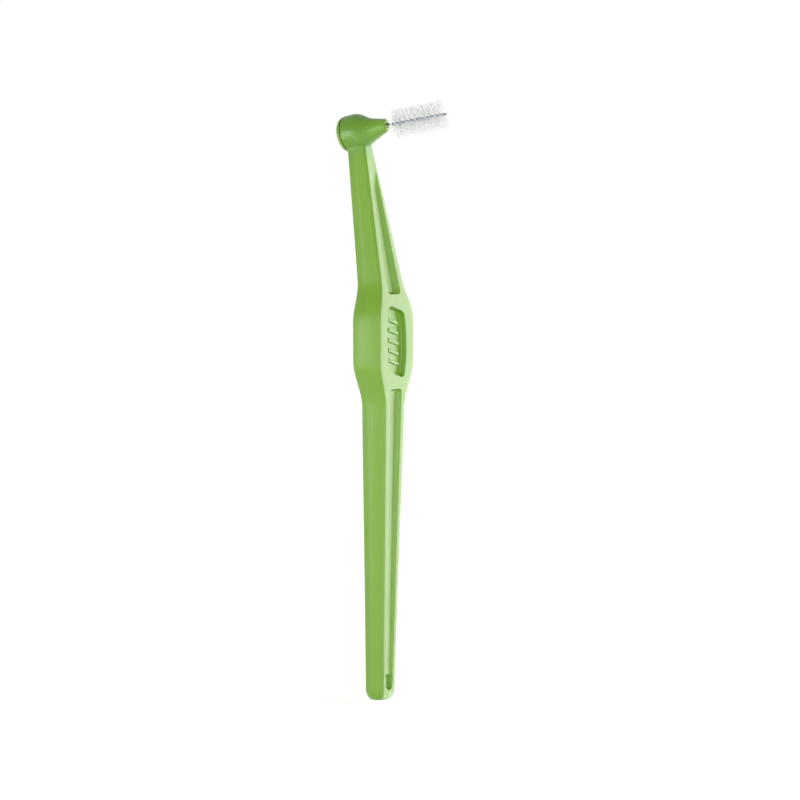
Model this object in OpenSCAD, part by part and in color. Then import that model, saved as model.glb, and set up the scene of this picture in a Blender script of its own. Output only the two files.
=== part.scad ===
// Angled interdental brush with a long flat handle.
// The handle stands on its rounded end, +Z runs up to the head and the brush points along +X.

/* [Shaft] */
// Length of the tapered shaft, from the rounded end up to the grip pad
shaft_len = 72.8; // [50:0.1:110]
// Width of the shaft at its rounded end
end_w = 6.8; // [6:0.1:9]
// Thickness of the shaft at its rounded end
end_t = 5; // [4.4:0.1:7]
// Height over which the end rounds off
end_round = 2.9; // [1.6:0.1:5]
// Width of the shaft where the grip pad starts
shaft_w = 10.8; // [9:0.1:14]
// Thickness of the shaft where the grip pad starts
shaft_t = 6.75; // [5.8:0.05:8]
// How far forward of the end the shaft's centre line lies at the grip pad
shaft_set = 1; // [0:0.1:3]

/* [Grip pad] */
// Width of the grip pad
pad_w = 17.7; // [15:0.1:24]
// Thickness of the grip pad
pad_t = 7.8; // [7:0.1:11]
// Length of the flank that widens from the shaft to the pad
foot_len = 11.2; // [8:0.1:18]
// Length of the pad's straight stretch
pad_len = 9.3; // [6:0.1:20]
// Length of the flank that narrows from the pad to the neck
shoulder_len = 10.2; // [7:0.1:18]

/* [Neck] */
// Height from the end of the upper flank to the axis of the head
neck_len = 36.8; // [28:0.1:60]
// Width of the neck where the upper flank ends
neck_root_w = 11.9; // [10:0.1:14]
// Thickness of the neck where the upper flank ends
neck_root_t = 6.8; // [6:0.1:8]
// Width of the neck at the head's axis
neck_top_w = 4; // [3.6:0.1:5.4]
// Thickness of the neck at the head's axis
neck_top_t = 4.9; // [4:0.1:5.2]
// Angle by which the neck leans back
neck_lean = 10; // [0:0.5:16]
// Length over which the neck's bend is eased
bend_soft = 2; // [1:0.1:6]

/* [Moulded edges] */
// Radius along the long edges of the shaft, the pad and the neck
edge_r = 1; // [0.8:0.05:1.5]
// Height of the crown of the two narrow sides
side_crown = 0.35; // [0.1:0.05:0.6]

/* [Channels] */
// Width of the shaft's channel near the rounded end
shaft_chan_end_w = 2.9; // [2:0.1:3.6]
// Width of the shaft's channel at its upper end
shaft_chan_top_w = 6; // [4:0.1:6.6]
// Depth of the shaft's channel near the rounded end
shaft_chan_end_d = 0.5; // [0.3:0.05:0.9]
// Depth of the shaft's channel at its upper end
shaft_chan_top_d = 1.4; // [1:0.05:2]
// Distance from the rounded end to the start of the shaft's channel
shaft_chan_gap = 2.5; // [2:0.1:8]
// Width of the neck's channel at its foot
neck_chan_root_w = 6.2; // [4:0.1:7]
// Width of the neck's channel where it runs out
neck_chan_top_w = 2.9; // [2:0.1:3.2]
// Depth of the neck's channel at its foot
neck_chan_root_d = 1.6; // [1:0.05:2.1]
// Depth of the neck's channel where it starts to run out
neck_chan_top_d = 0.6; // [0.3:0.05:0.9]
// Distance from the head's axis down to the end of the neck's channel
neck_chan_gap = 8.6; // [7:0.1:14]
// Length over which the neck's channel runs out
runout_len = 6; // [3:0.1:9]
// Run of the channels' moulded walls, from rim to floor
wall_run = 1.4; // [0.8:0.05:1.6]
// Radius of the corners of the channels and the grip recess
chan_corner_r = 1.2; // [0.6:0.05:1.4]
// Length of the gate pocket at the low end of the front channel
gate_len = 3.8; // [2:0.1:6]
// Depth of the gate pocket below the channel's floor
gate_d = 0.9; // [0.3:0.05:1.2]

/* [Grip recess] */
// Length of the grip recess along its middle
recess_len = 16.3; // [10:0.1:18]
// Width of the grip recess
recess_w = 9.1; // [6:0.1:11]
// Depth of the grip recess
recess_d = 1.5; // [0.8:0.05:2]
// Run of the grip recess's steeper walls
recess_run = 0.9; // [0.6:0.05:1.4]
// Slant of the recess's ends and of the ribs, in degrees
recess_slant = 12.5; // [0:0.5:16]
// Length of solid face between the recess and the channels
bridge_len = 3.6; // [3:0.1:5]
// Number of grip ribs in the recess
rib_count = 5; // [3:1:5]
// Distance from rib to rib
rib_pitch = 2.5; // [2:0.05:2.7]
// Width of a rib
rib_w = 0.9; // [0.5:0.05:1.4]
// Length of a rib
rib_len = 5.4; // [3:0.1:6.2]
// Height of a rib above the recess's floor
rib_h = 0.5; // [0.2:0.05:0.8]

/* [Head] */
// Radius of the head's round body
head_r = 4.6; // [4.2:0.05:6]
// Length of the head from the cap's seat to the nozzle's end
head_len = 11.2; // [9:0.1:16]
// Distance from the neck's axis back to the cap's seat
head_back = 2.5; // [2.4:0.05:4]
// Angle by which the head's axis rises towards the brush
head_tilt = 11; // [0:0.5:20]
// Distance from the cap's seat to where the body starts to narrow
shoulder_start = 2.3; // [1:0.1:4]
// Length over which the body narrows into the nozzle
shoulder_run = 4.75; // [3:0.05:6]
// Radius of the nozzle at the foot of that stretch
nozzle_root_r = 2.6; // [2:0.05:3]
// Radius of the nozzle at its end
nozzle_tip_r = 1.55; // [1.2:0.05:2]
// Radius of the rounded edge at the nozzle's end
nozzle_round = 0.8; // [0.2:0.05:0.85]
// Radius of the mouth round the wire at the nozzle's end
mouth_r = 0.66; // [0.55:0.01:0.7]
// Depth of that mouth
mouth_d = 1.2; // [0.5:0.05:2]
// Depth of the pocket behind the nozzle, from the cap's seat
pocket_d = 2.2; // [1.9:0.1:3]
// Radius of the pocket
pocket_r = 2.6; // [2.4:0.05:3.2]

/* [Rear cap] */
// Radius of the cap
cap_r = 4.5; // [4:0.05:6]
// Thickness of the cap behind its seat
cap_t = 1.5; // [1.2:0.05:3]
// Radius of the cap's rounded back edge
cap_round = 1.3; // [0.6:0.05:1.4]
// Chamfer on each side of the seam between the cap and the head
seam_chamfer = 0.22; // [0.1:0.01:0.4]
// Length of the cap's spigot in the pocket
spigot_len = 1; // [0.6:0.05:1.2]
// Wall of the spigot
spigot_wall = 0.8; // [0.4:0.05:1]
// Radial clearance of the spigot in the pocket
spigot_gap = 0.04; // [0.02:0.01:0.1]

/* [Wire] */
// Diameter of the folded wire
wire_d = 0.34; // [0.2:0.01:0.45]
// Length of the wire in front of the nozzle
wire_out = 16.9; // [12:0.1:30]
// Angle by which the wire dips from the nozzle's axis in front of the nozzle
wire_dip = 2.4; // [0:0.2:5]
// Length of one full turn of the twist
twist_pitch = 2.8; // [2.2:0.05:4]
// Radial clearance of the twisted wire in the nozzle's bore
bore_gap = 0.05; // [0.02:0.01:0.15]
// Radius of the bends that anchor the wire's ends in the pocket
anchor_bend = 0.4; // [0.3:0.05:0.6]
// Distance from the head's axis to each anchored end
anchor_reach = 2; // [1.4:0.05:2.2]

/* [Bristles] */
// Diameter across the bristles
brush_d = 7.4; // [4:0.1:10]
// Filaments clamped in one turn, each with a strand on either side
turn_filaments = 40; // [30:1:50]
// Bare wire left at the tip, in front of the last bristle
bare_tip = 1.2; // [0.6:0.1:3]
// Thickness of the filament layer between the two legs of the wire
layer_t = 0.08; // [0.04:0.01:0.12]
// Clearance between that layer and each leg of the wire
layer_gap = 0.03; // [0.02:0.005:0.08]
// How far the strands' tips lean towards the wire's tip
brush_lean = 0.35; // [0:0.05:0.8]

/* [Hidden] */
cut_over = 0.5; // overrun of every cut and depth of every fused root
brush_turns = 5; // full turns of bristles, one node each

// Heights along the handle
pad_z = shaft_len + foot_len;
shoulder_z = pad_z + pad_len;
neck_z = shoulder_z + shoulder_len;
head_z = neck_z + neck_len;
pad_mid_z = (pad_z + shoulder_z) / 2;
bend_z = (shoulder_z + neck_z) / 2;
shaft_chan_top_z = pad_mid_z - recess_len / 2 - bridge_len;
neck_chan_root_z = pad_mid_z + recess_len / 2 + bridge_len;
neck_chan_top_z = head_z - neck_chan_gap;
gate_top_z = shaft_chan_gap + gate_len;

// Shape of the rounded end, and points across a wall, an arc and a crown
end_flat_share = 0.47;
end_ring_shares = [0, 0.04, 0.13, 0.3, 0.6, 1];
wall_shares = [0, 0.16, 0.45, 1];
wall_run_share = 0.9; // of a channel's half width, the most that its wall may run
crown_shares = [0.45, 0, -0.45];
corner_steps = 3;
recess_bow_share = 0.11; // of the recess's width, by which each side draws in at its ends
recess_least_share = 0.8; // of the shaft channel's width, the least width at the recess's ends
rim_least = wall_run / 4; // narrowest flat rim between a channel and the rounded edge

function mix(a, b, t) = a + (b - a) * t;
function clamp(v, low, high) = min(high, max(low, v));
function smooth(t) = let (u = clamp(t, 0, 1)) u * u * (3 - 2 * u);
// How deep a moulded wall is at share t of its run: steep at the rim, easing into the floor
function wall(t) = 1 - pow(1 - clamp(t, 0, 1), 3);

// Half the solid's narrowing at the rounded end, as a factor of the full section
function end_factor(z) = z >= end_round ? 1
    : mix(end_flat_share, 1, sqrt(1 - pow(1 - z / end_round, 2)));
// A size along the handle: tapered on the shaft and the neck, constant on the pad
function along(z, at_end, at_shaft, at_pad, at_root, at_top) = z < pad_mid_z
    ? mix(mix(at_end, at_shaft, z / shaft_len), at_pad, smooth((z - shaft_len) / foot_len))
    : mix(mix(at_root, at_top, (z - neck_z) / neck_len), at_pad, smooth((neck_z - z) / shoulder_len));
function width_at(z) = end_factor(z) * along(z, end_w, shaft_w, pad_w, neck_root_w, neck_top_w);
function thick_at(z) = end_factor(z) * along(z, end_t, shaft_t, pad_t, neck_root_t, neck_top_t);
function edge_at(z) = end_factor(z) * edge_r;
function crown_at(z) = end_factor(z) * side_crown;
function eased(u, soft) = (u + sqrt(u * u + soft * soft)) / 2;
function centre_at(z) = shaft_set * min(1, z / shaft_len) - tan(neck_lean) * eased(z - bend_z, bend_soft);

// How much narrower a channel is at a gap from its end, for its rounded corners
function corner_loss(gap) = let (t = 1 - clamp(gap / chan_corner_r, 0, 1))
    2 * chan_corner_r * (1 - sqrt(1 - t * t));
// Half width of the channel or recess at height z
function channel_half(z) = let (
    share_low = (z - shaft_chan_gap) / (shaft_chan_top_z - shaft_chan_gap),
    share_high = (z - neck_chan_root_z) / (neck_chan_top_z - neck_chan_root_z),
    bow = recess_bow_share * recess_w * pow((z - pad_mid_z) / (recess_len / 2), 2),
    low = mix(shaft_chan_end_w, shaft_chan_top_w, share_low)
        - corner_loss(min(z - shaft_chan_gap, shaft_chan_top_z - z)),
    high = mix(neck_chan_root_w, neck_chan_top_w, share_high) - corner_loss(z - neck_chan_root_z),
    grip = recess_w - 2 * bow - corner_loss(recess_len / 2 - abs(z - pad_mid_z)),
    full = z <= shaft_chan_top_z ? low : z >= neck_chan_root_z ? high
        : max(grip, recess_least_share * shaft_chan_top_w))
    min(end_factor(z) * full, width_at(z) - 2 * edge_at(z) - rim_least) / 2;
// Depth of the floor at height z, on the front or the back face
function channel_depth(z, front) = let (
    share_low = clamp((z - shaft_chan_gap) / (shaft_chan_top_z - shaft_chan_gap), 0, 1),
    share_high = clamp((z - neck_chan_root_z) / (neck_chan_top_z - neck_chan_root_z), 0, 1),
    gate = front ? gate_d * wall((gate_top_z - z) / wall_run) : 0,
    low = (mix(shaft_chan_end_d, shaft_chan_top_d, share_low) + gate)
        * wall((z - shaft_chan_gap) / wall_run) * wall((shaft_chan_top_z - z) / wall_run),
    high = mix(neck_chan_root_d, neck_chan_top_d, share_high)
        * wall((z - neck_chan_root_z) / wall_run) * smooth((neck_chan_top_z - z) / runout_len),
    grip = recess_d * wall((recess_len / 2 - abs(z - pad_mid_z)) / recess_run))
    max(low, grip, high);

// Outline of the section, as [x, y], with the solid's sizes taken at z and the channel's at zc
face_steps = 2 * len(wall_shares);
function face_point(z, zc, k, side) = let (
    half = channel_half(zc),
    moulded = zc > shaft_chan_top_z && zc < neck_chan_root_z ? recess_run : wall_run,
    run = min(moulded, wall_run_share * half),
    t = k < len(wall_shares) ? wall_shares[k] : wall_shares[face_steps - 1 - k],
    y = (half - run * t) * (k < len(wall_shares) ? -1 : 1),
    d = channel_depth(zc, side > 0) * wall(t))
    [side * (thick_at(z) / 2 - d), side * y];
function corner_point(z, k, turn) = let (
    r = edge_at(z),
    a = turn + k * 90 / corner_steps,
    sx = turn == 0 || turn == 270 ? 1 : -1,
    sy = turn < 180 ? 1 : -1)
    [sx * (thick_at(z) / 2 - r) + r * cos(a), sy * (width_at(z) / 2 - r) + r * sin(a)];
function crown_point(z, t, side) = [
    side * t * (thick_at(z) / 2 - edge_at(z)),
    side * (width_at(z) / 2 + crown_at(z) * (1 - t * t))];
function outline(z, zc) = concat(
    [for (k = [0 : face_steps - 1]) face_point(z, zc, k, 1)],
    [for (k = [0 : corner_steps]) corner_point(z, k, 0)],
    [for (t = crown_shares) crown_point(z, t, 1)],
    [for (k = [0 : corner_steps]) corner_point(z, k, 90)],
    [for (k = [0 : face_steps - 1]) face_point(z, zc, k, -1)],
    [for (k = [0 : corner_steps]) corner_point(z, k, 180)],
    [for (t = crown_shares) crown_point(z, t, -1)],
    [for (k = [0 : corner_steps]) corner_point(z, k, 270)]);
side_point = face_steps + corner_steps + 1; // index of a point on a narrow side, off the flat faces
// A ring leans with the recess's slanted ends, and lies level at the channels
function slant_at(zc, y) = let (
    lean = smooth((zc - shaft_chan_top_z) / (bridge_len - wall_run / 2))
        * smooth((neck_chan_root_z - zc) / (bridge_len - wall_run / 2)))
    -tan(recess_slant) * clamp(y, -recess_w / 2, recess_w / 2) * lean;
function ring(zc) = let (level = outline(zc, zc))
    [for (k = [0 : len(level) - 1]) let (
        z = zc + slant_at(zc, level[k][1]),
        p = outline_point(z, zc, k, level))
        [centre_at(z) + p[0], p[1], z]];
function outline_point(z, zc, k, level) = z == zc ? level[k] : outline(z, zc)[k];

// Heights of the rings, closer where the shape turns
function sorted(v) = len(v) < 2 ? v : let (m = v[floor(len(v) / 2)]) concat(
    sorted([for (a = v) if (a < m) a]), [m], sorted([for (a = v) if (a > m) a]));
function thinned(v, least) = [for (k = [0 : len(v) - 1]) if (k == 0 || v[k] - v[k - 1] > least) v[k]];
shaft_shares = [0.3, 0.65];
recess_shares = [0.35, 0.65];
flank_shares = [0, 0.15, 0.32, 0.5, 0.68, 0.85, 1];
bend_shares = [-0.6, 0, 0.6, 1.6];
runout_shares = [0, 0.3, 0.65, 1];
ring_gap_least = wall_run / 8;
ring_heights = thinned(sorted(concat(
    [for (t = end_ring_shares) t * end_round],
    [for (t = wall_shares) shaft_chan_gap + t * wall_run],
    [for (t = wall_shares) gate_top_z - t * wall_run],
    [for (t = shaft_shares) t * shaft_len],
    [for (t = flank_shares) shaft_len + t * foot_len],
    [for (t = wall_shares) shaft_chan_top_z - t * wall_run],
    [for (t = wall_shares) pad_mid_z - recess_len / 2 + t * recess_run],
    [for (t = recess_shares) pad_mid_z + (t - 0.5) * recess_len],
    [for (t = wall_shares) pad_mid_z + recess_len / 2 - t * recess_run],
    [for (t = flank_shares) neck_z - t * shoulder_len],
    [for (t = wall_shares) neck_chan_root_z + t * wall_run],
    [for (t = bend_shares) bend_z + t * bend_soft],
    [for (t = runout_shares) neck_chan_top_z - t * runout_len],
    [head_z])), ring_gap_least);

// Skin over rings of points. Each end is a fan from the ring's point of index hub.
module loft(rings, hub) {
    n = len(rings[0]);
    last = len(rings) - 1;
    polyhedron(
        points = [for (r = rings) each r],
        faces = concat(
            [for (k = [1 : n - 2]) [hub, (hub + k) % n, (hub + k + 1) % n]],
            [for (k = [1 : n - 2]) [last * n + hub, last * n + (hub + k + 1) % n, last * n + (hub + k) % n]],
            [for (i = [0 : last - 1], k = [0 : n - 1]) let (j = (k + 1) % n)
                [i * n + k, (i + 1) * n + k, (i + 1) * n + j]],
            [for (i = [0 : last - 1], k = [0 : n - 1]) let (j = (k + 1) % n)
                [i * n + k, (i + 1) * n + j, i * n + j]]),
        convexity = 6);
}

// Places what is drawn about +Z on the head's axis, with its zero at the cap's seat
module on_head_axis() {
    translate([centre_at(head_z), 0, head_z]) rotate([0, 90 - head_tilt, 0])
        translate([0, 0, -head_back]) children();
}

// Twisted wire: two legs side by side about the head's axis
leg_r = wire_d / 2;
leg_offset = leg_r + layer_t / 2 + layer_gap;
twist_r = leg_offset + leg_r;
bore_r = twist_r + bore_gap;
fold_s = head_len + wire_out - leg_offset - leg_r;
brush_end_s = head_len + wire_out - bare_tip;
brush_start_s = brush_end_s - brush_turns * twist_pitch;
anchor_s = pocket_d - leg_r - layer_gap;
twist_start_s = anchor_s + anchor_bend;
function twist_angle(s) = 360 * (s - brush_start_s) / twist_pitch;
// How far below the nozzle's axis the wire's middle lies at s
function dip(s) = tan(wire_dip) * eased(s - head_len, wire_d);

// Profile of the head's body, and the radius that it is turned at
head_steps = 14;
function nozzle_line(s) = mix(nozzle_root_r, nozzle_tip_r,
    (s - shoulder_start - shoulder_run) / (head_len - shoulder_start - shoulder_run));
function head_radius(s) = mix(head_r, nozzle_line(s), smooth((s - shoulder_start) / shoulder_run));
head_profile = concat(
    [[0, 0], [head_r - seam_chamfer, 0], [head_r, seam_chamfer]],
    [for (k = [0 : head_steps]) let (s = shoulder_start + k * shoulder_run / head_steps)
        [head_radius(s), s]],
    [for (a = [0 : 15 : 90]) [
        head_radius(head_len - nozzle_round) - nozzle_round * (1 - cos(a)),
        head_len - nozzle_round * (1 - sin(a))]],
    [[0, head_len]]);

module rib() {
    translate([-rib_len / 2 + rib_w / 2, -rib_w / 2]) square([rib_len - rib_w, rib_w]);
    for (side = [-1, 1]) translate([side * (rib_len - rib_w) / 2, 0]) circle(d = rib_w, $fn = 32);
}

module grip_ribs() {
    for (k = [0 : rib_count - 1]) let (z = pad_mid_z + (k - (rib_count - 1) / 2) * rib_pitch)
        translate([centre_at(z) + thick_at(z) / 2 - recess_d - cut_over, 0, z])
            rotate([-recess_slant, 0, 0]) rotate([90, 0, 90])
                linear_extrude(height = cut_over + rib_h) rib();
}

module handle() {
    color("#93b962") difference() {
        union() {
            loft([for (z = ring_heights) ring(z)], side_point);
            grip_ribs();
            on_head_axis() rotate_extrude($fn = 64) polygon(head_profile);
        }
        on_head_axis() {
            translate([0, 0, -cut_over]) cylinder(r = pocket_r, h = cut_over + pocket_d, $fn = 48);
            cylinder(r = bore_r, h = head_len + cut_over, $fn = 32);
            translate([0, 0, head_len - mouth_d]) cylinder(r = mouth_r, h = mouth_d + cut_over, $fn = 32);
            translate([0, 0, pocket_d])
                cylinder(r1 = bore_r + anchor_bend, r2 = bore_r, h = anchor_bend, $fn = 32);
        }
    }
}

module rear_cap() {
    outer = pocket_r - spigot_gap;
    inner = outer - spigot_wall;
    color("#86b052") on_head_axis() rotate_extrude($fn = 64) polygon(concat(
        [[0, 0], [inner, 0], [inner, spigot_len], [outer, spigot_len], [outer, 0],
         [cap_r - seam_chamfer, 0], [cap_r, -seam_chamfer]],
        [for (a = [0 : 15 : 90]) [
            cap_r - cap_round * (1 - cos(a)),
            -cap_t + cap_round * (1 - sin(a))]],
        [[0, -cap_t]]));
}

// Centre line of one leg from its anchored end to the tip, with the direction across the pair
tail_shares = [0, 0.25, 0.5, 0.75];
leg_steps = 10;
function leg_path() = let (
    count = ceil((fold_s - twist_start_s) / twist_pitch * leg_steps),
    first = twist_angle(twist_start_s))
    concat(
        [[anchor_reach, anchor_s, first]],
        [for (t = tail_shares) [
            leg_offset + anchor_bend * (1 - sin(90 * t)),
            anchor_s + anchor_bend * (1 - cos(90 * t)), first]],
        [for (k = [0 : count]) let (s = mix(twist_start_s, fold_s, k / count))
            [leg_offset, s, twist_angle(s)]]);
function on_pair(r, s, a) = [r * cos(a) + dip(s), r * sin(a), s];
function across(a) = [-sin(a), cos(a), 0];
fold_steps = 6;
wire_path = let (leg = leg_path(), last = twist_angle(fold_s), n = len(leg)) concat(
    [for (p = leg) [on_pair(p[0], p[1], p[2]), across(p[2])]],
    [for (k = [1 : fold_steps - 1]) let (a = 180 * k / fold_steps)
        [on_pair(leg_offset * cos(a), fold_s + leg_offset * sin(a), last), across(last)]],
    [for (k = [0 : n - 1]) let (p = leg[n - 1 - k])
        [on_pair(-p[0], p[1], p[2]), across(p[2])]]);
wire_sides = 8;
function unit(v) = v / norm(v);
function tube_ring(path, i, r) = let (
    t = unit(path[min(i + 1, len(path) - 1)][0] - path[max(i - 1, 0)][0]),
    n = unit(path[i][1] - (path[i][1] * t) * t),
    b = cross(t, n))
    [for (k = [0 : wire_sides - 1]) let (a = 360 * k / wire_sides)
        path[i][0] + r * (cos(a) * n + sin(a) * b)];

module wire_core() {
    rings = [for (i = [0 : len(wire_path) - 1]) tube_ring(wire_path, i, leg_r)];
    color("#b8bcc0") on_head_axis() loft(rings, 0);
}

// Bristles: each filament lies in the layer between the legs and ends in a strand on either side
strand_share = 0.62; // of a filament's step, the rest is the gap to the next
tip_share = 0.45; // of a strand's root, at its tip
short_share = 0.05; // of the brush's radius, by which the shortest strands fall back
spread_angle = 6; // the most that a strand turns aside
spread_turn = 137.5; // turn from filament to filament of the pattern of spread
short_turn = 83; // turn from filament to filament of the pattern of length
layer_half = leg_r;
filament_step = twist_pitch / turn_filaments;
function filament_spread(i) = spread_angle * sin(i * spread_turn);
function filament_reach(i) = brush_d / 2 * (1 - short_share * (1 + sin(i * short_turn)) / 2);
function layer_ring(s, a) = [for (c = [[1, 1], [1, -1], [-1, -1], [-1, 1]])
    on_layer(c[0] * layer_half, c[1] * layer_t / 2, s, a)];
function on_layer(u, v, s, a) = [-u * sin(a) + v * cos(a) + dip(s), u * cos(a) + v * sin(a), s];
function tip_ring(i, s, a, side) = let (
    b = a + filament_spread(i) * side,
    mid = s + strand_share * filament_step / 2 + brush_lean,
    h = strand_share * filament_step * tip_share / 2,
    v = layer_t * tip_share / 2)
    [for (c = [[1, -1], [-1, -1], [-1, 1], [1, 1]])
        on_layer(side * filament_reach(i), side * c[0] * v, mid + c[1] * h, b)];

module bristle_turn(turn) {
    n = turn_filaments;
    first = turn * n;
    // Four rings of four points a filament: the layer before and behind it, and its two tips
    points = concat(
        [for (i = [0 : n - 1]) let (
            s = brush_start_s + (first + i) * filament_step,
            a = twist_angle(s + strand_share * filament_step / 2))
            each concat(
                layer_ring(s, a),
                layer_ring(s + strand_share * filament_step, a),
                tip_ring(first + i, s, a, 1),
                tip_ring(first + i, s, a, -1))],
        layer_ring(brush_start_s + (first + n) * filament_step,
            twist_angle(brush_start_s + (first + n + strand_share / 2) * filament_step)));
    function quad(a, b, c, d) = [[a, b, c], [a, c, d]];
    faces = concat(
        quad(0, 1, 2, 3),
        quad(16 * n + 3, 16 * n + 2, 16 * n + 1, 16 * n),
        [for (i = [0 : n - 1]) let (p = 16 * i, q = p + 4, u = p + 8, w = p + 12, e = p + 16) each concat(
            quad(p + 1, q + 1, q + 2, p + 2), quad(p + 3, q + 3, q, p),
            quad(q, e, e + 1, q + 1), quad(q + 1, e + 1, e + 2, q + 2),
            quad(q + 2, e + 2, e + 3, q + 3), quad(q + 3, e + 3, e, q),
            quad(p, u, u + 1, p + 1), quad(p + 1, u + 1, u + 2, q + 1),
            quad(q + 1, u + 2, u + 3, q), quad(q, u + 3, u, p), quad(u + 3, u + 2, u + 1, u),
            quad(p + 2, w, w + 1, p + 3), quad(p + 3, w + 1, w + 2, q + 3),
            quad(q + 3, w + 2, w + 3, q + 2), quad(q + 2, w + 3, w, p + 2), quad(w + 3, w + 2, w + 1, w))]);
    color("#f2f4f6") on_head_axis() polyhedron(points = points, faces = faces, convexity = 8);
}

module bristle_turn_1() bristle_turn(0);
module bristle_turn_2() bristle_turn(1);
module bristle_turn_3() bristle_turn(2);
module bristle_turn_4() bristle_turn(3);
module bristle_turn_5() bristle_turn(4);

handle();
rear_cap();
wire_core();
bristle_turn_1();
bristle_turn_2();
bristle_turn_3();
bristle_turn_4();
bristle_turn_5();
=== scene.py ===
"""Angled interdental brush: moulded handle and cap, twisted wire and nylon bristles."""

import math
import random

import bmesh
import bpy
from bpy.props import FloatProperty, FloatVectorProperty, IntProperty, PointerProperty
from bpy.types import Operator, Panel, PropertyGroup
from mathutils import Matrix, Vector


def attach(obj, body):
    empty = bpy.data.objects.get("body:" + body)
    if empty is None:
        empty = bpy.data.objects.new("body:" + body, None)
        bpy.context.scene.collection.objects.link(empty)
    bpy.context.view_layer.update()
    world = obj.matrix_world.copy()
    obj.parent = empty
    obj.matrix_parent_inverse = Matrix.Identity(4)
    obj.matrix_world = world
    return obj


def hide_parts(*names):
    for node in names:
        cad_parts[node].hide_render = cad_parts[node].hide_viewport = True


bl_info = {
    "name": "Angled interdental brush",
    "version": (1, 0, 0),
    "blender": (4, 5, 0),
    "location": "View3D > Sidebar > Brush",
    "description": "Models an angled interdental brush piece by piece, with its studio",
    "category": "Object",
}

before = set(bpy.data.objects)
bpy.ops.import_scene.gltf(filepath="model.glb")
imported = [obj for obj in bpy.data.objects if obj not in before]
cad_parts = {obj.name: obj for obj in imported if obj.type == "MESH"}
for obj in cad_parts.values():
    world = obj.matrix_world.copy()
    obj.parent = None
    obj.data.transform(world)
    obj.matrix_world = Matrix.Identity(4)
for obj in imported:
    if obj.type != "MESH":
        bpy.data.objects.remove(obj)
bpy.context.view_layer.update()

MM = 0.001
BODY = "root"
TURNS = sum(name.startswith("bristle_turn_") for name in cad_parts)

# How finely the round forms are divided
HEAD_SIDES = 96
SHOULDER_STEPS = 20
NOZZLE_EDGE_STEPS = 8
CAP_EDGE_STEPS = 10
FILLET_STEPS = 9
END_STEPS = 9
RIB_END_STEPS = 8
RIB_EDGE_STEPS = 4
WIRE_SIDES = 14
TWIST_STEPS = 28
ANCHOR_STEPS = 6
FOLD_STEPS = 10
STRAND_STEPS = 5
FILLET_TRIES = 8

# Points closer than this are one, and edges steeper than these, in degrees, are sharp
SAME_POINT = 0.0005 * MM
MOULDED_SHARP = 35
WIRE_SHARP = 40

# How much the strands differ from each other, and the first turn's seed
SPREAD = math.radians(5)
REACH_SPREAD = 0.03
LEAN_SPREAD = 0.45
BOW = 0.22 * MM
FIRST_SEED = 40

# The floor sheet's half side and the camera's clipping, in metres
FLOOR_HALF = 3
CLIP_START, CLIP_END = 0.01, 20

# Sockets of a Mix node for colours
MIX_A, MIX_B, MIX_RESULT = 6, 7, 2

# Name, azimuth and elevation in degrees, share of the lamp distance, width and height in metres, watts
LAMPS = (
    ("Softbox, back right", 158, 3, 1, 0.7, 0.6, 4.9),
    ("Softbox, right", 72, 3, 1, 0.57, 0.3, 1.5),
    ("Softbox, front left", -32, -6, 1, 0.2, 0.42, 1.6),
    ("Wide softbox, front left", -31, -8, 1.02, 0.4, 0.7, 1.3),
    ("Strip, front", 8, 0, 1.04, 0.14, 0.6, 1.3),
)


def linear(hex_code):
    """The linear colour of an sRGB hex value such as #88aa44."""
    parts = [int(hex_code[k : k + 2], 16) / 255 for k in (1, 3, 5)]
    return [p / 12.92 if p <= 0.04045 else ((p + 0.055) / 1.055) ** 2.4 for p in parts]


def length(name, description, mm):
    """A length property, given in millimetres."""
    return FloatProperty(
        name=name, description=description, default=mm * MM, min=0, unit="LENGTH", precision=5
    )


def angle(name, description, degrees):
    """An angle property, given in degrees."""
    return FloatProperty(
        name=name, description=description, default=math.radians(degrees), subtype="ANGLE"
    )


def colour(name, description, hex_code):
    """A colour property, given as an sRGB hex value."""
    return FloatVectorProperty(
        name=name, description=description, default=linear(hex_code), min=0, max=1, subtype="COLOR"
    )


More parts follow.
